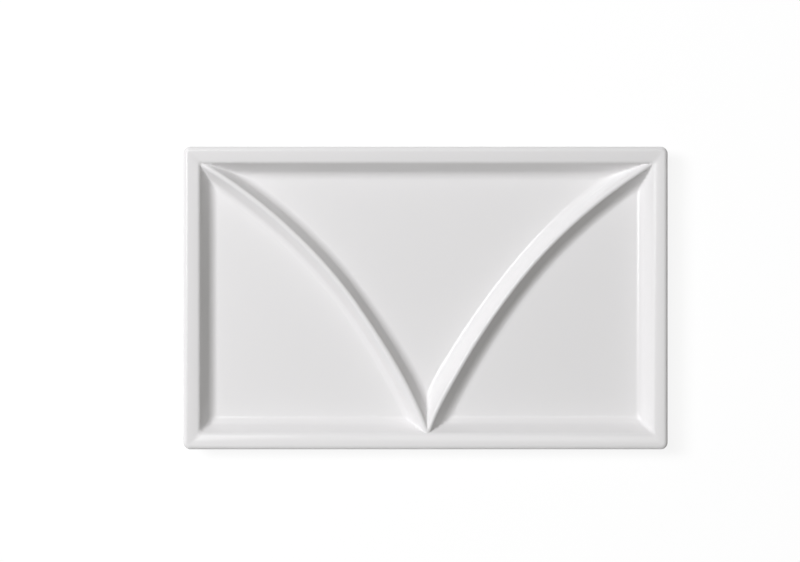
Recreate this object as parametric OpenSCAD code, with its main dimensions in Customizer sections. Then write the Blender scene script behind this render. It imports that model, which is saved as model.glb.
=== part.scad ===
// Rectangular porcelain plate with three wells, parted by two curved ridges that meet in a V.
// X runs along the plate, Y across it and Z up. The V points to -Y, and the foot stands on z = 0.
// The plate is one fired piece, so its regions are closed solids that meet face to face.

/* [Plate] */
// Length over the rim
plate_length = 320; // [280:1:360]
// Width over the rim
plate_width = 200; // [180:1:240]
// Height from the table to the rim's outer edge
plate_height = 18; // [17:0.1:22]
// Radius of the rim's outer corners, seen from above
corner_radius = 4.5; // [3:0.1:6]

/* [Rim] */
// Width of the rim, from its outer edge to the edge of the wells
rim_width = 9.8; // [9:0.1:14]
// Thickness of the rim at its outer edge
rim_thickness = 4.3; // [3.9:0.1:5.5]
// Slope of the rim's top, which falls towards the wells, in degrees
rim_slope = 6; // [4:0.5:10]
// Rounding of the rim's outer edge, above and below
nose_radius = 1.9; // [1:0.1:1.9]
// Rounding of the rim's inner edge
crest_radius = 3; // [1.5:0.1:4]

/* [Wells] */
// Thickness of the flat floor
floor_thickness = 4.8; // [4:0.1:6]
// Slope of the well walls, in degrees from the floor
wall_angle = 53; // [45:1:53]
// Radius of the cove between a well wall and the floor
cove_radius = 8; // [5:0.1:9]

/* [Dividers] */
// How far each ridge bows from the straight line between its ends, towards the middle well
divider_bow = 19.6; // [12:0.1:26]
// Slope of the ridges' sides, in degrees from the floor
divider_angle = 55; // [54:1:60]
// Radius of the cove between a ridge and the floor
divider_cove_radius = 7; // [4:0.1:9]
// Rounding of the ridge tops
divider_top_radius = 1.3; // [0.8:0.1:2.5]
// How far the ridge tops lie below the rim's inner edge
divider_drop = 0.4; // [0.3:0.1:1.5]

/* [Underside] */
// Distance from the rim's outer edge to the outside of the bowl, under the rim
shoulder_inset = 8.6; // [8.2:0.1:9]
// Rounding between the rim's underside and the outside of the bowl
shoulder_radius = 1.5; // [0.5:0.1:2.5]
// Height of the foot, from the table to the recessed underside
foot_height = 2.4; // [1.5:0.1:4]
// Radius of the bowl's outside, from the rim's underside down to the foot
bowl_radius = 26; // [22:1:40]
// Distance from the rim's outer edge to the outer edge of the foot's flat
foot_inset = 26.5; // [26:0.1:32]
// Width of the foot's flat, which stands on the table
foot_width = 4; // [3:0.1:6]
// Run of the slope from the foot's flat up to the recessed underside
foot_slope_run = 1.6; // [1:0.1:3]

/* [Hidden] */
$fn = 96;
porcelain = "whitesmoke";
bare_porcelain = "linen";
// Every cut runs past the solid by this much.
overrun = 1;
// The side wall runs on past the end of its cove by this much of the flat floor.
wall_margin = 0.8;
// Rounded stretches run this far past the flats that they touch, so that they cross them at a clear angle.
seam_overlap = 0.02;
// The crest's rounding runs on by less, so that it never falls towards the rim's edge.
crest_overlap = 0.005;
// The ridges' rounded stretches are drawn in this many straight steps.
cove_steps = 7;
top_steps = 3;

half_length = plate_length / 2;
half_width = plate_width / 2;
// Height of the rim's sloping top at its outer edge, before the nose is rounded.
rim_corner_z = plate_height - nose_radius + nose_radius * (1 + sin(rim_slope)) / cos(rim_slope) - seam_overlap;
crest_z = rim_corner_z - rim_width * tan(rim_slope);
floor_z = foot_height + floor_thickness;
// Depth of the wells below the rim's sharp inner edge.
well_depth = crest_z - floor_z;
rim_under_z = plate_height - rim_thickness;
headroom = plate_height + overrun;

// Half sizes of the rectangle inside the rim, where the wells begin.
inner_x = half_length - rim_width;
inner_y = half_width - rim_width;

// Plan run of a well wall, from its sharp top edge past the end of its cove.
wall_run = well_depth / tan(wall_angle) + cove_radius * tan(wall_angle / 2) + wall_margin;

// A ridge follows an arc from an inner corner of the rim to the middle of the front side.
ridge_chord = norm([inner_x, 2 * inner_y]);
ridge_arc_radius = (pow(ridge_chord / 2, 2) + pow(divider_bow, 2)) / (2 * divider_bow);
arc_centre_offset = ridge_arc_radius - divider_bow;
arc_centre_x = inner_x / 2 + arc_centre_offset * 2 * inner_y / ridge_chord;
arc_centre_y = -arc_centre_offset * inner_x / ridge_chord;

// The underside's arc passes through the shoulder and the foot's outer edge.
bowl_run = foot_inset - shoulder_inset;
bowl_chord = norm([bowl_run, rim_under_z]);
bowl_centre_offset = sqrt(pow(bowl_radius, 2) - pow(bowl_chord / 2, 2));
bowl_centre_inset = shoulder_inset + bowl_run / 2 + bowl_centre_offset * rim_under_z / bowl_chord;
bowl_centre_z = rim_under_z / 2 + bowl_centre_offset * bowl_run / bowl_chord;

// The point at a distance from another point, in the direction of an angle.
function along(point, angle, distance) = point + distance * [cos(angle), sin(angle)];

// The space between a corner and the circle that touches both its sides, with an overrun behind the sides.
// One side leaves the corner along X, and the other at the angle.
module corner_space(angle, radius) {
    centre = [radius / tan(angle / 2), radius];
    difference() {
        polygon([
            centre,
            [centre[0], -overrun],
            along([0, 0], angle / 2, -overrun / sin(angle / 2)),
            along(centre, angle + 90, radius + overrun)
        ]);
        translate(centre) circle(radius + seam_overlap);
    }
}

// A section is drawn for its right-hand end, with the plate's middle at x = 0.
module both_ends() {
    children();
    mirror([1, 0]) children();
}

// Sections drawn across the plate's length and across its width.
module run_across_width() {
    rotate([90, 0, 0]) linear_extrude(plate_width + 2 * overrun, center = true) children();
}

module run_across_length() {
    rotate([90, 0, 90]) linear_extrude(plate_length + 2 * overrun, center = true) children();
}

// The open space above the plate, at the end of a section. It is drawn from the rim's sharp inner edge.
module air_section(half_span) {
    crest_angle = 180 - wall_angle + rim_slope;
    crest_reach = crest_radius / tan(crest_angle / 2);
    crest_centre = along([0, 0], rim_slope - crest_angle / 2, crest_radius / sin(crest_angle / 2));
    wall_foot = [-well_depth / tan(wall_angle), -well_depth];
    middle_x = rim_width - half_span;
    both_ends() translate([half_span - rim_width, crest_z]) difference() {
        polygon([
            [middle_x, -well_depth],
            wall_foot,
            along([0, 0], wall_angle - 180, crest_reach),
            along([0, 0], rim_slope, crest_reach),
            along([0, 0], rim_slope, (rim_width + overrun) / cos(rim_slope)),
            [rim_width + overrun, headroom - crest_z],
            [middle_x, headroom - crest_z]
        ]);
        translate(crest_centre) circle(crest_radius + crest_overlap);
        translate(wall_foot) rotate(wall_angle) corner_space(180 - wall_angle, cove_radius);
    }
}

module air() {
    intersection() {
        run_across_width() air_section(half_length);
        run_across_length() air_section(half_width);
    }
}

// The bowl, with the fillet at its shoulder. It is drawn from the rim's outer edge, and its top lies inside the rim.
module bowl_section(half_span) {
    bowl_centre = [-bowl_centre_inset, bowl_centre_z];
    fillet_rise = bowl_centre_z - rim_under_z + shoulder_radius;
    fillet_reach = sqrt(pow(bowl_radius + shoulder_radius, 2) - pow(fillet_rise, 2));
    fillet_centre = bowl_centre + [fillet_reach, -fillet_rise];
    bowl_share = bowl_radius / (bowl_radius + shoulder_radius);
    bowl_touch = bowl_centre + bowl_share * (fillet_centre - bowl_centre);
    top_z = rim_under_z + shoulder_radius;
    both_ends() translate([half_span, 0]) {
        intersection() {
            translate([-half_span, 0]) square([half_span, top_z]);
            union() {
                translate([-half_span, 0]) square([half_span - bowl_centre_inset, top_z]);
                translate(bowl_centre) circle(bowl_radius);
            }
        }
        difference() {
            polygon([[-bowl_centre_inset, top_z], [fillet_centre[0], top_z], fillet_centre, bowl_touch]);
            translate(fillet_centre) circle(shoulder_radius + seam_overlap);
        }
    }
}

module bowl() {
    intersection() {
        run_across_width() bowl_section(half_length);
        run_across_length() bowl_section(half_width);
    }
}

// A block over a rectangle of the given half sizes, between two heights.
module block(half_x, half_y, low, high) {
    translate([-half_x, -half_y, low]) cube([2 * half_x, 2 * half_y, high - low]);
}

// The rim's edge, from the axis of the corners' rounding at x = 0 out to its rounded nose.
// The space above the plate cuts its top to the rim's slope.
module edge_section() {
    nose_x = corner_radius - nose_radius;
    upper_z = plate_height - nose_radius;
    lower_z = rim_under_z + nose_radius;
    polygon([
        [0, rim_under_z],
        [nose_x, rim_under_z],
        [corner_radius, lower_z],
        [corner_radius, upper_z],
        [nose_x, plate_height],
        [0, plate_height]
    ]);
    translate([nose_x, upper_z]) circle(nose_radius);
    translate([nose_x, lower_z]) circle(nose_radius);
}

// One straight side of the edge, with its quarter turn round the next corner.
module edge_side(half_side, half_other) {
    translate([half_other - corner_radius, half_side - corner_radius]) {
        rotate([90, 0, 0]) linear_extrude(2 * (half_side - corner_radius)) edge_section();
        rotate_extrude(angle = 90) edge_section();
    }
}

module rim_edge() {
    for (turn = [0, 180]) {
        rotate(turn) edge_side(half_width, half_length);
        rotate(turn + 90) edge_side(half_length, half_width);
    }
}

module rim() {
    color(porcelain) difference() {
        union() {
            rim_edge();
            block(half_length - corner_radius, half_width - corner_radius, rim_under_z, plate_height);
            bowl();
        }
        air();
        block(inner_x, inner_y, -overrun, headroom);
    }
}

module side_wall() {
    color(porcelain) difference() {
        intersection() {
            union() {
                bowl();
                block(inner_x, inner_y, rim_under_z, plate_height);
            }
            block(inner_x, inner_y, foot_height, plate_height);
        }
        air();
        block(inner_x - wall_run, inner_y - wall_run, -overrun, headroom);
    }
}

module well_floor() {
    color(porcelain) intersection() {
        bowl();
        block(inner_x - wall_run, inner_y - wall_run, foot_height, floor_z);
    }
}

// Half of a ridge's outline, from the end of its cove up to the middle of its top.
// It is drawn from the foot of the ridge's middle, and its coves end below the floor's surface.
function ridge_half_outline() =
    let (
        tip_z = seam_overlap + well_depth - divider_drop + divider_top_radius * (1 / cos(divider_angle) - 1),
        cove_end_x = tip_z / tan(divider_angle) + divider_cove_radius * tan(divider_angle / 2),
        top_centre = [0, tip_z - divider_top_radius / cos(divider_angle)]
    )
    [
        for (step = [0:cove_steps])
            along([cove_end_x, divider_cove_radius], 270 - divider_angle * step / cove_steps, divider_cove_radius),
        for (step = [0:top_steps])
            along(top_centre, 90 - divider_angle * (1 - step / top_steps), divider_top_radius)
    ];

module ridge_section() {
    right = ridge_half_outline();
    left = [for (i = [len(right) - 2:-1:0]) [-right[i][0], right[i][1]]];
    polygon(concat(right, left));
}

// The ridge that rises to the right, kept on its own side and above the wells' surface.
module ridge() {
    intersection() {
        translate([arc_centre_x, arc_centre_y]) rotate(90) rotate_extrude(angle = 90)
            translate([ridge_arc_radius, floor_z - seam_overlap]) ridge_section();
        air();
        translate([0, -half_width, 0]) cube([half_length, plate_width, plate_height]);
    }
}

module left_divider() {
    color(porcelain) mirror([1, 0, 0]) ridge();
}

module right_divider() {
    color(porcelain) ridge();
}

// The hollow inside the foot, with sloping sides.
module recess_section(half_span) {
    foot_edge = half_span - foot_inset - foot_width;
    side_share = foot_slope_run / foot_height;
    both_ends() polygon([
        [0, -overrun],
        [foot_edge + side_share * overrun, -overrun],
        [foot_edge - side_share * (foot_height + overrun), foot_height + overrun],
        [0, foot_height + overrun]
    ]);
}

module foot_ring() {
    color(bare_porcelain) difference() {
        intersection() {
            bowl();
            block(half_length, half_width, 0, foot_height);
        }
        intersection() {
            run_across_width() recess_section(half_length);
            run_across_length() recess_section(half_width);
        }
    }
}

rim();
side_wall();
well_floor();
left_divider();
right_divider();
foot_ring();
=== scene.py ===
"""Rectangular porcelain plate with three wells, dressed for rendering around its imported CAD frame.

The shapes are worked out in millimetres and scaled to metres as each mesh is made.
X runs along the plate, Y across it and Z up, as in the frame.
"""
import math

import bpy
import numpy as np
from mathutils.geometry import delaunay_2d_cdt
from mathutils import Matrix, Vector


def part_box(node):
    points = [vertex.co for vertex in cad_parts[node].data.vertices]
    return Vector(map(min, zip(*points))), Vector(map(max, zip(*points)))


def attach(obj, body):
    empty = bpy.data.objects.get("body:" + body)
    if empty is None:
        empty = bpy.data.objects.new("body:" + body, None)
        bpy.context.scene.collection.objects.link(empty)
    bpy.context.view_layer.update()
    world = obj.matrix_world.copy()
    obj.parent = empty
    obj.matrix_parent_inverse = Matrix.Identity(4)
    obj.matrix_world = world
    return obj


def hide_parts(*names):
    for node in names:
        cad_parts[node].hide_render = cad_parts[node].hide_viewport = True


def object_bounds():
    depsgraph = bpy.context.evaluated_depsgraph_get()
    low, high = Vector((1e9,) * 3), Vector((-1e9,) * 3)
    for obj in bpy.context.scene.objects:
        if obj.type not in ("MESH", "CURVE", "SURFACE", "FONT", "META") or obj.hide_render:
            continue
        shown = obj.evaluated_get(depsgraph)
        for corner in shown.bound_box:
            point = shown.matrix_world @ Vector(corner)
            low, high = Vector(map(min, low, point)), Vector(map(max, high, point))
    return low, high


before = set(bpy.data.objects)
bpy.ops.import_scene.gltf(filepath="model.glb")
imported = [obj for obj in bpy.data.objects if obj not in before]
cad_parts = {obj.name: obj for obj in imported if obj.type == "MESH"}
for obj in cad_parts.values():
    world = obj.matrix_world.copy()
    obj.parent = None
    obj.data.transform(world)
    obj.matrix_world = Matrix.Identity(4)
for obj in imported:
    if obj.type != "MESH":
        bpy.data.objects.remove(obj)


def plain_box():
    """The bounds of what shows, as plain lists of metres."""
    return [[float(value) for value in corner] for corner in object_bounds()]


cad_box = plain_box()

# Plate, in millimetres, from the frame.
MM = 0.001
HALF_LENGTH, HALF_WIDTH, PLATE_HEIGHT = (value / MM for value in cad_box[1])
FLOOR_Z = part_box("well_floor")[1][2] / MM
FOOT_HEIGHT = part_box("foot_ring")[1][2] / MM

# Rim. The short ends are a little narrower than the long sides.
END_RIM = 9.2
SIDE_RIM = 10.4
MEAN_RIM = (END_RIM + SIDE_RIM) / 2
CORNER_RADIUS = 4.5
RIM_SLOPE = math.radians(6)
LIP_THICKNESS = 4.3
NOSE_RADIUS = 1.9
CREST_RADIUS = 3.0
NOSE_TOP = PLATE_HEIGHT - NOSE_RADIUS
RIM_UNDER_Z = PLATE_HEIGHT - LIP_THICKNESS
NOSE_LOW = RIM_UNDER_Z + NOSE_RADIUS

# The nose is wider than it is deep on top. From there the rim rounds gently in to the wells' edge.
NOSE_RUN = 2.8
NOSE_SLOPE = math.radians(3.5)
EDGE_SLOPE = math.radians(11)
NOSE_TURN = math.pi / 2 + math.atan(math.tan(NOSE_SLOPE) * NOSE_RUN / NOSE_RADIUS)
TOP_INSET = NOSE_RUN * (1 - math.cos(NOSE_TURN))
TOP_RUN = MEAN_RIM - TOP_INSET

# Wells. Their sharp edge is where the CAD's rim has it.
cad_run = MEAN_RIM - NOSE_RADIUS * (1 + math.sin(RIM_SLOPE))
WELL_DEPTH = NOSE_TOP + NOSE_RADIUS * math.cos(RIM_SLOPE) - cad_run * math.tan(RIM_SLOPE) - FLOOR_Z
WALL_ANGLE = math.radians(53)
COVE_RADIUS = 8.0
INNER_X = HALF_LENGTH - END_RIM
INNER_Y = HALF_WIDTH - SIDE_RIM

# Ridges between the wells. They lie a little lower near the far corners.
RIDGE_BOW = 19.6
RIDGE_ANGLE = math.radians(56)
RIDGE_COVE_RADIUS = 6.6
RIDGE_TOP_RADIUS = 2.2
RIDGE_DROP = 0.4
CORNER_DROP = 0.35
CORNER_DROP_RUN = 10.0

# Soft blends where the walls and ridges run into each other.
CORNER_BLEND = 3.0
EDGE_CORNER = 2.5
VALLEY_BLEND = 1.1
BLEND_RISE = 2.0
BLEND_START = 0.3
BLEND_RUN = 1.5

# How the wells have settled to the right in firing: a step along the plate, and humps and hollows on it.
# Each is given as (amount, middle, width). The drift fades out at the rim's nose.
DRIFT_STEP = (1.2, 110, 35)
DRIFT_HUMPS = ((1.5, 38, 30), (-1.0, -33, 18), (-0.8, 7, 7))
DRIFT_FADE = 8.5

# Underside.
SHOULDER_INSET = 8.6
SHOULDER_RADIUS = 1.5
BOWL_RADIUS = 26.0
BOWL_CORNER_RADIUS = 7.0
FOOT_INSET = 26.5
FOOT_WIDTH = 4.0
FOOT_SLOPE_RUN = 1.6
CONTACT_RISE = 0.3
CONTACT_EDGE_Z = 0.1
CONTACT_TILT = (0.3, -0.95)
CONTACT_TURNS = (0.35, 0.2)  # where the bare band has turned under, in from the foot's outer and inner sides
CONTACT_LEVEL = 0.6

# Profile of a well wall, from the sharp edge that its crest rounds off. Outward is positive.
crest_reach = CREST_RADIUS * math.tan((WALL_ANGLE - RIM_SLOPE) / 2)
crest_tilt = RIM_SLOPE - (math.pi - WALL_ANGLE + RIM_SLOPE) / 2
crest_distance = CREST_RADIUS / math.cos((WALL_ANGLE - RIM_SLOPE) / 2)
crest_centre = (crest_distance * math.cos(crest_tilt), crest_distance * math.sin(crest_tilt))
wall_foot = WELL_DEPTH / math.tan(WALL_ANGLE)
cove_reach = COVE_RADIUS * math.tan(WALL_ANGLE / 2)
COVE_END = wall_foot + cove_reach
cove_start = wall_foot - cove_reach * math.cos(WALL_ANGLE)
TOP_START = crest_reach * math.cos(RIM_SLOPE) - CREST_RADIUS * (math.sin(EDGE_SLOPE) - math.sin(RIM_SLOPE))

# The side wall's piece gives way to the floor's just past the coves.
JOIN_MARGIN = 2.5
JOIN_INSET = COVE_END + JOIN_MARGIN
JOIN_X, JOIN_Y = INNER_X - JOIN_INSET, INNER_Y - JOIN_INSET

# Profile of a ridge, across its middle line.
ridge_tip = WELL_DEPTH - RIDGE_DROP + RIDGE_TOP_RADIUS * (1 / math.cos(RIDGE_ANGLE) - 1)
RIDGE_HALF = ridge_tip / math.tan(RIDGE_ANGLE) + RIDGE_COVE_RADIUS * math.tan(RIDGE_ANGLE / 2)
ridge_cove_start = RIDGE_HALF - RIDGE_COVE_RADIUS * math.sin(RIDGE_ANGLE)
ridge_top_half = RIDGE_TOP_RADIUS * math.sin(RIDGE_ANGLE)

# The right ridge's middle line is an arc from the far right corner to the middle of the near side.
ridge_chord = math.hypot(INNER_X, 2 * INNER_Y)
RIDGE_ARC = ((ridge_chord / 2) ** 2 + RIDGE_BOW ** 2) / (2 * RIDGE_BOW)
ARC_X = INNER_X / 2 + (RIDGE_ARC - RIDGE_BOW) * 2 * INNER_Y / ridge_chord
ARC_Y = -(RIDGE_ARC - RIDGE_BOW) * INNER_X / ridge_chord

# Places of the mesh's points, in millimetres, and how many of them there are.
END_PLACES = [0.7, 1.5, 2.5, 4.0]  # along a side, from each of its ends
SIDE_STEP = 2.5
APEX_PLACES = [-4, -3, -2.1, -1.4, -0.7, 0, 0.7, 1.4, 2.1, 3, 4]  # along the near side, from its middle
APEX_GAP = 4.6
CORNER_STEPS = 10
RIM_TOP_RUNS = (0, 0.3, 0.6, 0.85, TOP_START, 2, 3, 4.2, 5.4, 6.6)
NOSE_TOP_STEPS, NOSE_LOW_STEPS = 12, 8
RIM_UNDER_STEPS, FILLET_STEPS, RIM_BOWL_STEPS = 3, 5, 2
WALL_BOWL_STEPS, FOOT_BOWL_STEPS, FOOT_SLOPE_STEPS = 9, 5, 2
WALL_INSETS = [0.25, 0.5, 0.8, 1.6, 2.8, 4.0]
RIDGE_OFFSETS = [0, 0.3, 0.6, 0.9, 1.2, 1.5, ridge_top_half, 2.7, 3.6, 4.5]
COVE_STEPS = 9
RIDGE_STEPS = 130
RIDGE_FOOT_STEPS = 90
RIDGE_PAST_END = 0.02  # radians
VALLEY_STEPS = 24
VALLEY_CROWDING = 1.6  # brings the steps closer together near the floor
VALLEY_END = 0.12  # below the ridge's top
FLOOR_STEPS_X, FLOOR_STEPS_Y = 46, 26

# The least distances that the points keep, in millimetres.
EDGE_GAP = 0.12  # from the rim's edge
RIDGE_EDGE_GAP = 0.15  # the same, on a ridge or a valley line
CORNER_GAP = 0.2  # from the diagonal where two walls meet
MIDDLE_GAP = 0.35  # from the line where the ridges meet
MEETING_GAP = 0.25  # in height, from the surface that a point's own surface meets
GRID_GAP = 1.0  # from the floor piece's edge
GRID_RIDGE_GAP = 1.2  # from a ridge's foot

# Normals of level faces, and the zero normal that leaves a hidden face Blender's own.
UP, DOWN, OWN = (0, 0, 1), (0, 0, -1), (0, 0, 0)


def share(value):
    """The value, kept between 0 and 1."""
    return np.clip(value, 0, 1)


def eased(value):
    """The value, kept between 0 and 1, with a soft start and end."""
    value = share(value)
    return value ** 2 * (3 - 2 * value)


def spread(start, end, count):
    """The ends of a range and the places between that divide it into equal steps."""
    return [start + (end - start) * step / count for step in range(count + 1)]


# Heights of the upper surface.
def wall_height(inward):
    """Height of a well wall above the floor, at a distance inward from the rim's sharp edge."""
    out = -inward
    crest = WELL_DEPTH + crest_centre[1] + np.sqrt(
        np.maximum(CREST_RADIUS ** 2 - (out - crest_centre[0]) ** 2, 0))
    cove = COVE_RADIUS - np.sqrt(np.maximum(COVE_RADIUS ** 2 - (inward - COVE_END) ** 2, 0))
    height = WELL_DEPTH + out * np.where(out > 0, math.tan(RIM_SLOPE), math.tan(WALL_ANGLE))
    on_crest = (out > -crest_reach * math.cos(WALL_ANGLE)) & (out < crest_reach * math.cos(RIM_SLOPE))
    height = np.where(on_crest, crest, height)
    height = np.where(inward > cove_start, cove, height)
    return np.where(inward > COVE_END, 0, height)


def rim_top(run):
    """Height of the rim's top above the floor, and its slope, at a distance outward from the wells' edge."""
    if run < TOP_START:
        step = 0.01
        rise = float(wall_height(np.array(-run - step)) - wall_height(np.array(-run + step)))
        return float(wall_height(np.array(-run))), rise / (2 * step)
    start_height = float(wall_height(np.array(-TOP_START)))
    start_slope = math.tan(EDGE_SLOPE)
    end_height = NOSE_TOP + NOSE_RADIUS * math.sin(NOSE_TURN) - FLOOR_Z
    end_slope = 2 * (end_height - start_height) / (TOP_RUN - TOP_START) - start_slope
    slope = start_slope + (end_slope - start_slope) * (run - TOP_START) / (TOP_RUN - TOP_START)
    return start_height + (run - TOP_START) * (start_slope + slope) / 2, slope


def ridge_height(across):
    """Height of a ridge above the floor, at a distance from its middle line."""
    across = np.abs(across)
    top = ridge_tip - RIDGE_TOP_RADIUS / math.cos(RIDGE_ANGLE) + np.sqrt(
        np.maximum(RIDGE_TOP_RADIUS ** 2 - across ** 2, 0))
    cove = RIDGE_COVE_RADIUS - np.sqrt(
        np.maximum(RIDGE_COVE_RADIUS ** 2 - (across - RIDGE_HALF) ** 2, 0))
    height = ridge_tip - across * math.tan(RIDGE_ANGLE)
    height = np.where(across < ridge_top_half, top, height)
    height = np.where(across > ridge_cove_start, cove, height)
    return np.where(across > RIDGE_HALF, 0, height)


def corner_drop(x, y):
    """How much lower a ridge is near the corner that it starts from."""
    return CORNER_DROP * eased(1 - np.hypot(INNER_X - x, INNER_Y - y) / CORNER_DROP_RUN)


def from_ridge(x, y):
    """Distance from the right ridge's middle line, positive towards the middle well."""
    return np.hypot(x - ARC_X, y - ARC_Y) - RIDGE_ARC


def blended(a, b, width):
    """The higher of a and b, with a soft blend where they cross."""
    width = np.maximum(width, 1e-6)  # never divides by zero
    overlap = np.maximum(width - np.abs(a - b), 0) / width
    return np.maximum(a, b) + overlap ** 2 * width / 4


def from_rim(x, y):
    """Distance inward from the rim's inner edge, softened where two walls meet."""
    return -blended(np.abs(x) - INNER_X, np.abs(y) - INNER_Y, CORNER_BLEND)


def valley(a, b, inward):
    """The higher of two heights, with a soft valley that fades out at the floor and at the rim."""
    rise = share(np.minimum(a, b) / BLEND_RISE)
    return blended(a, b, VALLEY_BLEND * rise * share((inward - BLEND_START) / BLEND_RUN))


def well_heights(x, y):
    """Distance from the rim, and the heights of the walls and of the higher ridge above the floor."""
    inward = from_rim(x, y)
    near_ridge = np.maximum(ridge_height(from_ridge(np.abs(x), y)) - corner_drop(np.abs(x), y), 0)
    far_ridge = ridge_height(from_ridge(-np.abs(x), y))
    return inward, wall_height(inward), valley(near_ridge, far_ridge, inward)


def surface_z(x, y):
    """Height of the plate's upper surface inside the rim's edge."""
    inward, wall, ridge = well_heights(x, y)
    return FLOOR_Z + valley(wall, ridge, inward)


def surface_normals(x, y):
    """Unit normals of the upper surface, from the heights on each side."""
    step = 0.02
    slope_x = (surface_z(x + step, y) - surface_z(x - step, y)) / (2 * step)
    slope_y = (surface_z(x, y + step) - surface_z(x, y - step)) / (2 * step)
    normals = np.stack([-slope_x, -slope_y, np.ones_like(slope_x)], axis=1)
    return normals / np.linalg.norm(normals, axis=1)[:, None]


def drift(x):
    """How far to the right the wells have settled in firing, at a place along the plate."""
    amount, middle, width = DRIFT_STEP
    along = amount * (0.5 - 0.5 * np.tanh((x - middle) / width))
    for amount, middle, width in DRIFT_HUMPS:
        along = along + amount * np.exp(-((x - middle) / width) ** 2)
    return along * eased((HALF_LENGTH - TOP_INSET - np.abs(x)) / DRIFT_FADE)


def drifted(points, normals):
    """The upper surface's points and normals, moved and turned by the drift."""
    points, normals = np.array(points, dtype=float), np.array(normals, dtype=float)
    x, step = points[:, 0].copy(), 0.05
    stretch = 1 + (drift(x + step) - drift(x - step)) / (2 * step)
    points[:, 0] = x + drift(x)
    normals[:, 0] /= stretch
    normals /= np.linalg.norm(normals, axis=1)[:, None]
    return [tuple(map(float, point)) for point in points], [tuple(map(float, normal)) for normal in normals]


# Round the plate: stations on the corners' turns and along the sides, in one loop.
SIGNS = [(1, 1), (-1, 1), (-1, -1), (1, -1)]  # of the corners, anticlockwise


def side_shares(length, apex=False):
    """Places along a side, as shares of its length, closer together near its ends and the ridges' apex."""
    margin = END_PLACES[-1]
    inner = length - 2 * margin
    count = round(inner / SIDE_STEP)
    places = END_PLACES + [length - place for place in END_PLACES]
    places += [margin + inner * step / count for step in range(1, count)]
    if apex:
        places = [place for place in places if abs(place - length / 2) > APEX_GAP]
        places += [length / 2 + offset for offset in APEX_PLACES]
    return [place / length for place in sorted(places)]


def stations():
    """(first corner, second corner, share between them, angle of the outward normal), round the plate."""
    far, end = side_shares(2 * INNER_X), side_shares(2 * INNER_Y)
    near = side_shares(2 * INNER_X, apex=True)
    found = []
    for corner, shares in enumerate([far, end, near, end]):
        for turn in spread(0, 1, CORNER_STEPS):
            found.append((corner, corner, 0, math.pi / 2 * (corner + turn)))
        for place in shares:
            found.append((corner, (corner + 1) % 4, place, math.pi / 2 * (corner + 1)))
    return found


STATIONS = stations()


def ring_points(end_inset, side_inset, radius, z):
    """One loop round the plate, at insets from its ends and sides, with rounded corners."""
    points = []
    for first, second, place, angle in STATIONS:
        ends = []
        for corner in (first, second):
            sign_x, sign_y = SIGNS[corner]
            ends.append((sign_x * (HALF_LENGTH - end_inset - radius) + radius * math.cos(angle),
                         sign_y * (HALF_WIDTH - side_inset - radius) + radius * math.sin(angle)))
        points.append(tuple(a + (b - a) * place for a, b in zip(*ends)) + (z,))
    return points


def ring_normals(outward, up):
    """The normals of one loop, which tilt outward and up."""
    return [(outward * math.cos(angle), outward * math.sin(angle), up) for _, _, _, angle in STATIONS]


class Sheet:
    """Collects faces with their corners' normals, and makes them into one mesh object."""

    def __init__(self):
        self.points = []
        self.places = {}
        self.faces = []
        self.normals = []

    def vertex(self, point):
        """The number of a point, which faces that meet there share."""
        key = tuple(round(value, 4) for value in point)
        if key not in self.places:
            self.places[key] = len(self.points)
            self.points.append(point)
        return self.places[key]

    def face(self, corners, normals):
        """Adds a face, less its repeated corners."""
        indices, kept = [], []
        for corner, normal in zip(corners, normals):
            index = self.vertex(corner)
            if index not in indices:
                indices.append(index)
                kept.append(normal)
        if len(indices) > 2:
            self.faces.append(indices)
            self.normals.extend(kept)

    def rows(self, rows, hidden=False):
        """Joins loops round the plate, each given as (points, normals), in order from the top outward."""
        for (upper, upper_normals), (lower, lower_normals) in zip(rows, rows[1:]):
            for i in range(len(upper)):
                j = (i + 1) % len(upper)
                corners = [upper[i], lower[i], lower[j], upper[j]]
                normals = [upper_normals[i], lower_normals[i], lower_normals[j], upper_normals[j]]
                self.face(corners, [OWN] * 4 if hidden else normals)

    def make(self, name, material, slot, *nodes):
        """Makes the object, which rides on the plate's body and stands for the CAD nodes."""
        mesh = bpy.data.meshes.new(name)
        mesh.from_pydata([tuple(value * MM for value in point) for point in self.points], [], self.faces)
        mesh.polygons.foreach_set("use_smooth", [True] * len(mesh.polygons))
        mesh.normals_split_custom_set(self.normals)
        mesh.materials.append(material)
        piece = bpy.data.objects.new(name, mesh)
        bpy.context.scene.collection.objects.link(piece)
        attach(piece, "root")
        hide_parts(*nodes)
        return piece


# Upper surface inside the rim: points along the walls, the ridges and the lines where they meet.
def arc_point(across, angle):
    """A point beside the right ridge's middle line, at an angle round the arc's centre."""
    reach = RIDGE_ARC + across
    return ARC_X + reach * math.cos(angle), ARC_Y + reach * math.sin(angle)


def arc_angle(x, y):
    """The angle of a point round the arc's centre."""
    return math.atan2(y - ARC_Y, x - ARC_X)


def arc_x(y, across):
    """Where the line at a distance from the right ridge's middle line reaches a Y."""
    return ARC_X - math.sqrt((RIDGE_ARC + across) ** 2 - (y - ARC_Y) ** 2)


def arc_y(x, across):
    """Where the line at a distance from the right ridge's middle line reaches an X."""
    return ARC_Y + math.sqrt((RIDGE_ARC + across) ** 2 - (x - ARC_X) ** 2)


def inverse(profile, high, low_distance, high_distance):
    """The distance at which a falling profile has a height, by halving."""
    for _ in range(50):
        middle = (low_distance + high_distance) / 2
        if profile(np.array(middle)) > high:
            low_distance = middle
        else:
            high_distance = middle
    return (low_distance + high_distance) / 2


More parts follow.
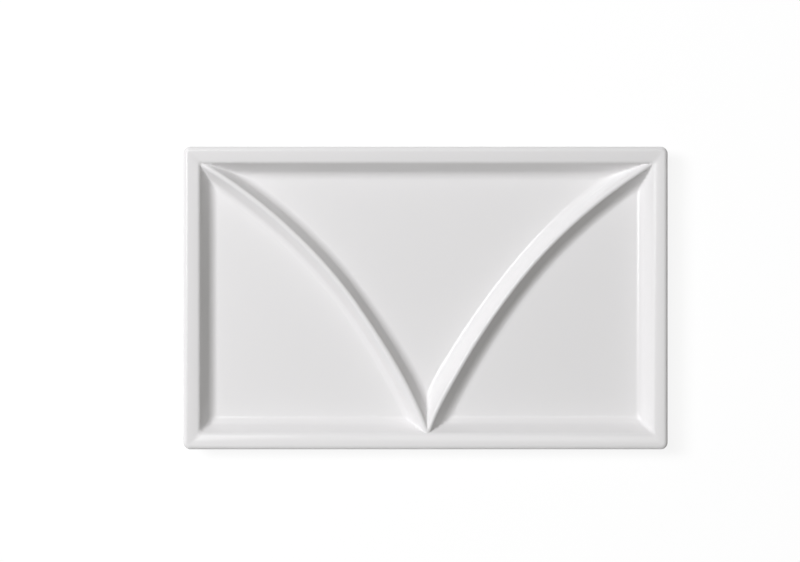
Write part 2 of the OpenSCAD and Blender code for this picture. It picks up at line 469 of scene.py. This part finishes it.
def valley_lines():
    """Lines on the right half where a ridge meets a wall or the other ridge, from the floor up."""
    top = float(ridge_height(np.array(0.0)))
    heights = [top * (step / VALLEY_STEPS) ** VALLEY_CROWDING for step in range(VALLEY_STEPS)]
    heights.append(top - VALLEY_END)
    far, end, near, middle = [], [], [], []
    for height in heights:
        inward = inverse(wall_height, height, 0, COVE_END) if height else COVE_END
        across = inverse(ridge_height, height, 0, RIDGE_HALF) if height else RIDGE_HALF
        far_y, end_x, near_y = INNER_Y - inward, INNER_X - inward, inward - INNER_Y
        far.append((arc_x(far_y, across), far_y))
        end.append((end_x, arc_y(end_x, -across)))
        near.append((arc_x(near_y, -across), near_y))
        middle.append((0.0, arc_y(0.0, across)))
    return [[(x, y) for x, y in line if from_rim(x, y) > RIDGE_EDGE_GAP] for line in (far, end, near, middle)]


def cove_places(start, end, radius, angle):
    """Distances at equal turns of a cove, from its flank end to the floor."""
    return [end - radius * math.sin(angle * (1 - step / COVE_STEPS)) for step in range(COVE_STEPS + 1)]


def triangulated(points, edges):
    """Triangles over the points with the edges kept. Given points keep their exact coordinates."""
    found = delaunay_2d_cdt(points, edges, [], 0, 1e-5)
    exact = [points[origin[0]] if origin else tuple(place) for place, origin in zip(found[0], found[3])]
    return np.array(exact), [list(face) for face in found[2]]


class Plan:
    """Collects the upper surface's points, seen from above, and the edges that its triangles keep."""

    def __init__(self):
        self.points = []
        self.edges = []
        self.places = {}

    def add(self, x, y):
        """The number of a point, which is added unless it is there already."""
        key = (round(x, 3), round(y, 3))
        if key not in self.places:
            self.places[key] = len(self.points)
            self.points.append((x, y))
        return self.places[key]

    def add_line(self, line):
        """Adds the points of a line, and its edges as ones to keep."""
        indices = [self.add(x, y) for x, y in line]
        self.edges.extend((a, b) for a, b in zip(indices, indices[1:]) if a != b)

    def add_both(self, line):
        """Adds a line of the right half and its mirror image."""
        self.add_line(line)
        self.add_line([(-x, y) for x, y in line])

    def add_free(self, x, y, clearance):
        """Adds a point unless it lies near a line where two surfaces meet."""
        inward, wall, ridge = well_heights(np.array(x), np.array(y))
        if inward > EDGE_GAP and abs(float(wall - ridge)) > clearance:
            self.add(x, y)


def add_edge_lines(plan, crest):
    """The rim's edge, the lines where surfaces meet, the ridges' feet and the floor piece's edge."""
    plan.add_line(crest + crest[:1])
    far, end, near, middle = valley_lines()
    for line in (far, end, near):
        plan.add_both(line)
    plan.add_line(middle)
    for start, finish, across in ((middle[0], far[0], RIDGE_HALF), (near[0], end[0], -RIDGE_HALF)):
        angles = spread(arc_angle(*start), arc_angle(*finish), RIDGE_FOOT_STEPS)
        plan.add_both([arc_point(across, angle) for angle in angles])
    plan.add_line([(sign_x * JOIN_X, sign_y * JOIN_Y) for sign_x, sign_y in SIGNS + SIGNS[:1]])


def add_wall_points(plan, crest):
    """Points down the walls and through their coves, in line with those of the rim's edge."""
    crest_x = sorted({round(x, 6) for x, y in crest if abs(abs(y) - INNER_Y) < 1e-6 and y < 0})
    crest_y = sorted({round(y, 6) for x, y in crest if abs(abs(x) - INNER_X) < 1e-6})
    coves = cove_places(cove_start, COVE_END, COVE_RADIUS, WALL_ANGLE)
    for inset in WALL_INSETS + coves + [JOIN_INSET]:
        clearance = MEETING_GAP if inset < COVE_END else -1  # every point is free on the floor
        row_x, row_y = INNER_X - inset, INNER_Y - inset
        for sign in (-1, 1):
            for x in crest_x:
                if abs(x) < row_x - CORNER_GAP:
                    plan.add_free(x, sign * row_y, clearance)
            for y in crest_y:
                if abs(y) < row_y - CORNER_GAP:
                    plan.add_free(sign * row_x, y, clearance)
        for sign_x, sign_y in SIGNS:
            plan.add_free(sign_x * row_x, sign_y * row_y, clearance)


def add_ridge_points(plan):
    """Points along both ridges, where they stand clear of the walls."""
    coves = cove_places(ridge_cove_start, RIDGE_HALF, RIDGE_COVE_RADIUS, RIDGE_ANGLE)[:-1]
    corner_angle = arc_angle(INNER_X, INNER_Y)
    apex_angle = arc_angle(0, -INNER_Y) % (2 * math.pi)
    for offset in RIDGE_OFFSETS + coves:
        for across in {offset, -offset}:  # only one at the middle line
            for angle in spread(corner_angle - RIDGE_PAST_END, apex_angle + RIDGE_PAST_END, RIDGE_STEPS):
                x, y = arc_point(across, angle)
                inward, wall, _ = well_heights(np.array(x), np.array(y))
                clear = float(ridge_height(np.array(across))) > float(wall) + MEETING_GAP
                if x > MIDDLE_GAP and inward > RIDGE_EDGE_GAP and clear:
                    plan.add(x, y)
                    plan.add(-x, y)


def add_floor_points(plan):
    """A grid over the floor, clear of its edge and of the ridges."""
    for x in spread(-JOIN_X, JOIN_X, FLOOR_STEPS_X):
        for y in spread(-JOIN_Y, JOIN_Y, FLOOR_STEPS_Y):
            inside = abs(x) < JOIN_X - GRID_GAP and abs(y) < JOIN_Y - GRID_GAP
            across = abs(float(from_ridge(np.array(abs(x)), np.array(y))))
            if inside and across > RIDGE_HALF + GRID_RIDGE_GAP:
                plan.add(x, y)


def plan_mesh():
    """The points and triangles of the upper surface in plan."""
    plan = Plan()
    crest = [point[:2] for point in ring_points(END_RIM, SIDE_RIM, EDGE_CORNER, 0)]
    add_edge_lines(plan, crest)
    add_wall_points(plan, crest)
    add_ridge_points(plan)
    add_floor_points(plan)
    return triangulated(plan.points, plan.edges)


plan_points, triangles = plan_mesh()
plan_x, plan_y = plan_points[:, 0], plan_points[:, 1]
plan_z = surface_z(plan_x, plan_y)
centres = np.array([plan_points[face].mean(axis=0) for face in triangles])
_, wall_at, ridge_at = well_heights(centres[:, 0], centres[:, 1])
under_ridge = ridge_at > np.maximum(wall_at, 1e-4)  # not where both are as low as the floor
in_wall = (np.abs(centres[:, 0]) > JOIN_X) | (np.abs(centres[:, 1]) > JOIN_Y)

# Under a ridge the wall and floor carry on, and the ridge's own underside lies on them. A triangle whose
# corners are all open has no thickness there, so it isn't the ridge's.
open_points = np.zeros(len(plan_points), dtype=bool)
for face, covered in zip(triangles, under_ridge):
    if not covered:
        open_points[face] = True
under_ridge &= [not open_points[face].all() for face in triangles]
covered_z = FLOOR_Z + np.minimum(well_heights(plan_x, plan_y)[1], plan_z - FLOOR_Z)
base_z = np.where(open_points, plan_z, covered_z)
moved, plan_normals = drifted(np.stack([plan_x, plan_y, plan_z], axis=1), surface_normals(plan_x, plan_y))
moved_x = [point[0] for point in moved]


def top_corners(face, heights):
    """A face's corners where they have drifted to, at the heights of their points."""
    return [(moved_x[i], plan_y[i], heights[i]) for i in face]


def level_corners(face, z):
    """A face's corners where they have drifted to, all at one height."""
    return [(moved_x[i], plan_y[i], z) for i in face]


def boundary_edges(faces):
    """The edges that only one of the faces has, in its direction."""
    seen = {}
    for face in faces:
        for a, b in zip(face, face[1:] + face[:1]):
            seen[(a, b)] = True
    return [edge for edge in seen if (edge[1], edge[0]) not in seen]


# Looks.
def node_material(name, colours, roughness, bump_strength, bump_depth, bump_scale):
    """Fired porcelain: a faint change of colour and gloss over the surface, and a soft unevenness."""
    material = bpy.data.materials.new(name)
    material.use_nodes = True
    nodes, links = material.node_tree.nodes, material.node_tree.links
    shader = nodes["Principled BSDF"]
    coordinates = nodes.new("ShaderNodeTexCoord")

    def noise(scale, detail):
        node = nodes.new("ShaderNodeTexNoise")
        node.inputs["Scale"].default_value = scale
        node.inputs["Detail"].default_value = detail
        links.new(coordinates.outputs["Object"], node.inputs["Vector"])
        return node.outputs["Fac"]

    tint = nodes.new("ShaderNodeMix")
    tint.data_type = "RGBA"
    tint.inputs["A"].default_value = colours[0] + (1,)
    tint.inputs["B"].default_value = colours[1] + (1,)
    links.new(noise(scale=9, detail=3), tint.inputs["Factor"])
    links.new(tint.outputs["Result"], shader.inputs["Base Color"])

    gloss = nodes.new("ShaderNodeMapRange")
    gloss.inputs["To Min"].default_value = roughness[0]
    gloss.inputs["To Max"].default_value = roughness[1]
    links.new(noise(scale=30, detail=2), gloss.inputs["Value"])
    links.new(gloss.outputs["Result"], shader.inputs["Roughness"])

    ripple = nodes.new("ShaderNodeBump")
    ripple.inputs["Strength"].default_value = bump_strength
    ripple.inputs["Distance"].default_value = bump_depth
    links.new(noise(scale=bump_scale, detail=2), ripple.inputs["Height"])
    links.new(ripple.outputs["Normal"], shader.inputs["Normal"])
    shader.inputs["IOR"].default_value = 1.5
    return material


glaze = node_material("porcelain_glaze", ((0.853, 0.843, 0.847), (0.865, 0.856, 0.859)), (0.09, 0.15),
                      bump_strength=0.08, bump_depth=0.0006, bump_scale=60)
bisque = node_material("bare_porcelain", ((0.78, 0.755, 0.715), (0.70, 0.675, 0.64)), (0.6, 0.8),
                       bump_strength=0.3, bump_depth=0.0002, bump_scale=2200)


# Rim: its top from the wells' edge outward, its rounded nose, its underside and the shoulder.
def rim_top_row(run):
    """A loop on the rim's top. Run is the distance outward from the wells' edge."""
    place = 1 - run / TOP_RUN  # 0 at the nose, 1 at the wells' edge
    radius = CORNER_RADIUS - TOP_INSET + (EDGE_CORNER - CORNER_RADIUS + TOP_INSET) * place
    height, slope = rim_top(run)
    points = ring_points(TOP_INSET + (END_RIM - TOP_INSET) * place,
                         TOP_INSET + (SIDE_RIM - TOP_INSET) * place, radius, FLOOR_Z + height)
    if run == 0:
        edge = np.array(points)
        edge[:, 2] = surface_z(edge[:, 0], edge[:, 1])
        return drifted(edge, surface_normals(edge[:, 0], edge[:, 1]))
    return drifted(points, ring_normals(-slope / math.hypot(slope, 1), 1 / math.hypot(slope, 1)))


def nose_row(angle, run, centre_z):
    """A loop on the nose, which is round or wider than deep. The angle is 0 at its outermost line."""
    inset = run * (1 - math.cos(angle))
    outward, up = math.cos(angle) / run, math.sin(angle) / NOSE_RADIUS
    length = math.hypot(outward, up)
    return (ring_points(inset, inset, CORNER_RADIUS - inset, centre_z + NOSE_RADIUS * math.sin(angle)),
            ring_normals(outward / length, up / length))


# The underside's arc and its fillet, as insets from the rim's edge and heights.
bowl_run = FOOT_INSET - SHOULDER_INSET
bowl_chord = math.hypot(bowl_run, RIM_UNDER_Z)
bowl_offset = math.sqrt(BOWL_RADIUS ** 2 - (bowl_chord / 2) ** 2)
BOWL_INSET = SHOULDER_INSET + bowl_run / 2 + bowl_offset * RIM_UNDER_Z / bowl_chord
BOWL_Z = RIM_UNDER_Z / 2 + bowl_offset * bowl_run / bowl_chord
FILLET_Z = RIM_UNDER_Z - SHOULDER_RADIUS
FILLET_INSET = BOWL_INSET - math.sqrt((BOWL_RADIUS + SHOULDER_RADIUS) ** 2 - (BOWL_Z - FILLET_Z) ** 2)
fillet_angle = math.atan2(BOWL_Z - FILLET_Z, BOWL_INSET - FILLET_INSET)


def under_row(inset, z, outward, up):
    """A loop on the underside, whose corners open out from the nose to the bowl."""
    start = CORNER_RADIUS - NOSE_RADIUS
    place = float(share((inset - NOSE_RADIUS) / (SHOULDER_INSET - NOSE_RADIUS)))
    radius = start + (BOWL_CORNER_RADIUS - start) * place
    return ring_points(inset, inset, radius, z), ring_normals(outward, up)


def fillet_row(angle):
    """A loop on the hollow fillet between the rim's underside and the bowl."""
    return under_row(FILLET_INSET + SHOULDER_RADIUS * math.cos(angle),
                     FILLET_Z + SHOULDER_RADIUS * math.sin(angle), math.cos(angle), -math.sin(angle))


def bowl_row(angle):
    """A loop on the bowl's outside. The angle runs down from the shoulder, at 0 along the table."""
    return under_row(BOWL_INSET - BOWL_RADIUS * math.cos(angle),
                     BOWL_Z - BOWL_RADIUS * math.sin(angle), math.cos(angle), -math.sin(angle))


def bowl_angle_at(z):
    """The bowl's angle at a height."""
    return math.asin((BOWL_Z - z) / BOWL_RADIUS)


rim_join_angle = math.acos((BOWL_INSET - MEAN_RIM) / BOWL_RADIUS)
foot_join_angle = bowl_angle_at(FOOT_HEIGHT)
contact_angle = bowl_angle_at(CONTACT_RISE)

rim_rows = [rim_top_row(run) for run in RIM_TOP_RUNS]
rim_rows += [nose_row(angle, NOSE_RUN, NOSE_TOP) for angle in spread(NOSE_TURN, 0, NOSE_TOP_STEPS)]
rim_rows += [nose_row(angle, NOSE_RADIUS, NOSE_LOW) for angle in spread(0, -math.pi / 2, NOSE_LOW_STEPS)]
rim_rows += [under_row(inset, RIM_UNDER_Z, 0, -1)
             for inset in spread(NOSE_RADIUS, FILLET_INSET, RIM_UNDER_STEPS)[1:-1]]
rim_rows += [fillet_row(angle) for angle in spread(math.pi / 2, fillet_angle, FILLET_STEPS)]
rim_rows += [bowl_row(angle) for angle in spread(fillet_angle, rim_join_angle, RIM_BOWL_STEPS)[1:]]

rim = Sheet()
rim.rows(rim_rows)
rim.rows([rim_rows[-1], rim_rows[0]], hidden=True)
rim.make("glazed_rim", glaze, "glazed_porcelain", "rim")

# Side wall: the wells' walls and coves, the bowl's outside, and its hidden edge and underside.
wall = Sheet()
wall_faces = [face for face, inside in zip(triangles, in_wall) if inside]
for face in wall_faces:
    covered = not open_points[face].all()
    wall.face(top_corners(face, base_z), [OWN if covered else plan_normals[i] for i in face])
wall_rows = [bowl_row(angle) for angle in spread(rim_join_angle, foot_join_angle, WALL_BOWL_STEPS)]
wall.rows([rim_rows[0], rim_rows[-1]], hidden=True)
wall.rows(wall_rows)
inner_loop = []  # the edges beside the floor's piece, which are well inside those at the rim
for a, b in boundary_edges(wall_faces):
    if abs(plan_x[a]) < INNER_X - JOIN_MARGIN and abs(plan_y[a]) < INNER_Y - JOIN_MARGIN:
        wall.face(top_corners([b, a], base_z) + level_corners([a, b], FOOT_HEIGHT), [OWN] * 4)
        inner_loop.append((a, b))
loop_points = [point[:2] for point in wall_rows[-1][0]]
count = len(loop_points)
inner_points = sorted({index for edge in inner_loop for index in edge})
inner_index = {index: count + place for place, index in enumerate(inner_points)}
loop_edges = [(i, (i + 1) % count) for i in range(count)]
loop_edges += [(inner_index[a], inner_index[b]) for a, b in inner_loop]
loop_points += [(moved_x[i], plan_y[i]) for i in inner_points]
under_plan, under_faces = triangulated(loop_points, loop_edges)
outer_loop = set(loop_points[:count])
for face in under_faces:
    corners = [(under_plan[i][0], under_plan[i][1], FOOT_HEIGHT) for i in reversed(face)]
    if any(corner[:2] in outer_loop for corner in corners):
        wall.face(corners, [OWN] * 3)
wall.make("glazed_side_wall", glaze, "glazed_porcelain", "side_wall")

# Floor: its upper face, its underside inside the foot, and its edges against the side wall.
well_floor = Sheet()
floor_faces = [face for face, inside in zip(triangles, in_wall) if not inside]
for face in floor_faces:
    well_floor.face(level_corners(face, FLOOR_Z), [UP] * 3)
    well_floor.face(level_corners(face[::-1], FOOT_HEIGHT), [DOWN] * 3)
for a, b in boundary_edges(floor_faces):
    well_floor.face(level_corners([b, a], FLOOR_Z) + level_corners([a, b], FOOT_HEIGHT), [OWN] * 4)
well_floor.make("glazed_well_floor", glaze, "glazed_porcelain", "well_floor")

# Ridges: each has its rounded top and flanks, its underside on the wall and floor, and its ends.
for name, side in (("left", -1), ("right", 1)):
    ridge = Sheet()
    ridge_faces = [face for face, covered, centre in zip(triangles, under_ridge, centres)
                   if covered and centre[0] * side > 0]
    for face in ridge_faces:
        ridge.face(top_corners(face, plan_z), [plan_normals[i] for i in face])
        ridge.face(top_corners(face[::-1], base_z), [OWN] * 3)
    for a, b in boundary_edges(ridge_faces):
        ridge.face(top_corners([b, a], plan_z) + top_corners([a, b], base_z), [OWN] * 4)
    ridge.make("glazed_" + name + "_divider", glaze, "glazed_porcelain", name + "_divider")

# Foot: glazed outside and inside, with a bare flat that stands on the table.
slope_length = math.hypot(FOOT_SLOPE_RUN, FOOT_HEIGHT)
slope_out, slope_up = -FOOT_HEIGHT / slope_length, -FOOT_SLOPE_RUN / slope_length
foot_inner = FOOT_INSET + FOOT_WIDTH


def slope_row(z):
    """A loop on the foot's inner side, which slopes in to the recess."""
    return under_row(foot_inner + FOOT_SLOPE_RUN * z / FOOT_HEIGHT, z, slope_out, slope_up)


foot = Sheet()
foot.rows([bowl_row(angle) for angle in spread(foot_join_angle, contact_angle, FOOT_BOWL_STEPS)])
foot.rows([bowl_row(contact_angle), slope_row(CONTACT_RISE)], hidden=True)
foot.rows([slope_row(z) for z in spread(CONTACT_RISE, FOOT_HEIGHT, FOOT_SLOPE_STEPS)])
foot.rows([slope_row(FOOT_HEIGHT), bowl_row(foot_join_angle)], hidden=True)
foot.make("glazed_foot_ring", glaze, "glazed_porcelain", "foot_ring")

contact = Sheet()
tilt_out, tilt_up = CONTACT_TILT
outer_turn, inner_turn = CONTACT_TURNS
contact.rows([bowl_row(contact_angle), bowl_row(bowl_angle_at(CONTACT_EDGE_Z)),
              under_row(FOOT_INSET + outer_turn, 0, tilt_out, tilt_up),
              under_row(FOOT_INSET + CONTACT_LEVEL, 0, 0, -1),
              under_row(foot_inner - CONTACT_LEVEL, 0, 0, -1),
              under_row(foot_inner - inner_turn, 0, -tilt_out, tilt_up),
              slope_row(CONTACT_EDGE_Z), slope_row(CONTACT_RISE)])
contact.rows([slope_row(CONTACT_RISE), bowl_row(contact_angle)], hidden=True)
contact.make("bare_foot_contact", bisque, "bare_porcelain", "foot_ring")

# Camera, straight above, as far off as the photograph's even outline suggests. The plate's middle lies
# right of the picture's and below it, by the given pixels.
IMAGE_WIDTH, PIXELS_PER_MM = 800, 1.5125
PLATE_RIGHT, PLATE_BELOW = 25.6, 17.0
CAMERA_HEIGHT = 1.4
camera_data = bpy.data.cameras.new("camera")
camera = bpy.data.objects.new("camera", camera_data)
bpy.context.scene.collection.objects.link(camera)
camera.location = (-PLATE_RIGHT / PIXELS_PER_MM * MM, PLATE_BELOW / PIXELS_PER_MM * MM, CAMERA_HEIGHT)
view_width = IMAGE_WIDTH / PIXELS_PER_MM * MM
camera_data.lens = camera_data.sensor_width * (CAMERA_HEIGHT - NOSE_TOP * MM) / view_width
bpy.context.scene.camera = camera
bpy.context.scene.view_settings.view_transform = "Standard"


# Studio: white to the camera and in the glaze's reflections, with the plate's shadow on the floor.
def math_node(tree, operation, *values):
    """The output of a Math node. Each value is a number or another node's output."""
    node = tree.nodes.new("ShaderNodeMath")
    node.operation = operation
    for socket, value in zip(node.inputs, values):
        if isinstance(value, (int, float)):
            socket.default_value = value
        else:
            tree.links.new(value, socket)
    return node.outputs[0]


def light_path(tree):
    """The kinds of ray, and an output that is 1 for those that see the studio as white."""
    rays = tree.nodes.new("ShaderNodeLightPath").outputs
    return rays, math_node(tree, "MAXIMUM", rays["Is Camera Ray"], rays["Is Glossy Ray"])


FLOOR_REACH = 4.0
FLOOR_CLEARANCE = 0.0001
FLOOR_COLOUR = (0.15, 0.15, 0.15, 1)
FLOOR_WHITE = 0.88   # added for the camera and reflections, over what the lights give
FLOOR_BOUNCE = 0.45  # what the floor throws back onto the plate's sides
floor_mesh = bpy.data.meshes.new("studio_floor")
floor_mesh.from_pydata([(x * FLOOR_REACH, y * FLOOR_REACH, 0) for x, y in SIGNS], [], [(0, 1, 2, 3)])
studio = bpy.data.objects.new("studio_floor", floor_mesh)
studio.location.z = -FLOOR_CLEARANCE
bpy.context.scene.collection.objects.link(studio)
paper = bpy.data.materials.new("studio_paper")
paper.use_nodes = True
shader = paper.node_tree.nodes["Principled BSDF"]
shader.inputs["Base Color"].default_value = FLOOR_COLOUR
shader.inputs["Roughness"].default_value = 1
shader.inputs["Specular IOR Level"].default_value = 0
shader.inputs["Emission Color"].default_value = (1, 1, 1, 1)
rays, seen = light_path(paper.node_tree)
white = math_node(paper.node_tree, "MULTIPLY", seen, FLOOR_WHITE)
glow = math_node(paper.node_tree, "MULTIPLY_ADD", rays["Is Diffuse Ray"], FLOOR_BOUNCE, white)
paper.node_tree.links.new(glow, shader.inputs["Emission Strength"])
floor_mesh.materials.append(paper)

LIGHT_DISTANCE = 3.0
KEY_COLOUR = (0.977, 0.977, 1)


def soft_box(name, azimuth, elevation, length, width, energy):
    """A light that faces the plate, long side level. Angles in degrees, sizes in metres, energy in watts."""
    azimuth, elevation = math.radians(azimuth), math.radians(elevation)
    data = bpy.data.lights.new(name, "AREA")
    data.shape = "RECTANGLE"
    data.size, data.size_y = length, width
    data.energy = energy
    light = bpy.data.objects.new(name, data)
    bpy.context.scene.collection.objects.link(light)
    light.location = (LIGHT_DISTANCE * math.cos(elevation) * math.cos(azimuth),
                      LIGHT_DISTANCE * math.cos(elevation) * math.sin(azimuth),
                      LIGHT_DISTANCE * math.sin(elevation))
    light.rotation_euler = (-light.location).to_track_quat("-Z", "Y").to_euler()
    return light


# Lights: a key to the left that the glaze doesn't mirror, a wide box and a narrow strip overhead that it
# does, and a faint card that only brightens the near rim's gloss.
key = soft_box("key", azimuth=159, elevation=48, length=1.0, width=1.0, energy=61.5)
key.data.color = KEY_COLOUR
key.visible_glossy = False
soft_box("overhead", azimuth=150, elevation=66, length=1.4, width=1.4, energy=20)
card = soft_box("card", azimuth=66, elevation=78, length=0.8, width=0.5, energy=2.0)
card.visible_diffuse = False
soft_box("strip", azimuth=151, elevation=68, length=1.2, width=0.3, energy=6.5)

# World: a faint even light all round, which the camera and the reflections see as white.
AMBIENT = (0.073, 0.073, 0.062, 1)
world = bpy.data.worlds.new("studio")
bpy.context.scene.world = world
world.use_nodes = True
background = world.node_tree.nodes["Background"]
_, seen = light_path(world.node_tree)
sky = world.node_tree.nodes.new("ShaderNodeMix")
sky.data_type = "RGBA"
sky.inputs["A"].default_value = AMBIENT
sky.inputs["B"].default_value = (1, 1, 1, 1)
world.node_tree.links.new(seen, sky.inputs["Factor"])
world.node_tree.links.new(sky.outputs["Result"], background.inputs["Color"])
background.inputs["Strength"].default_value = 1
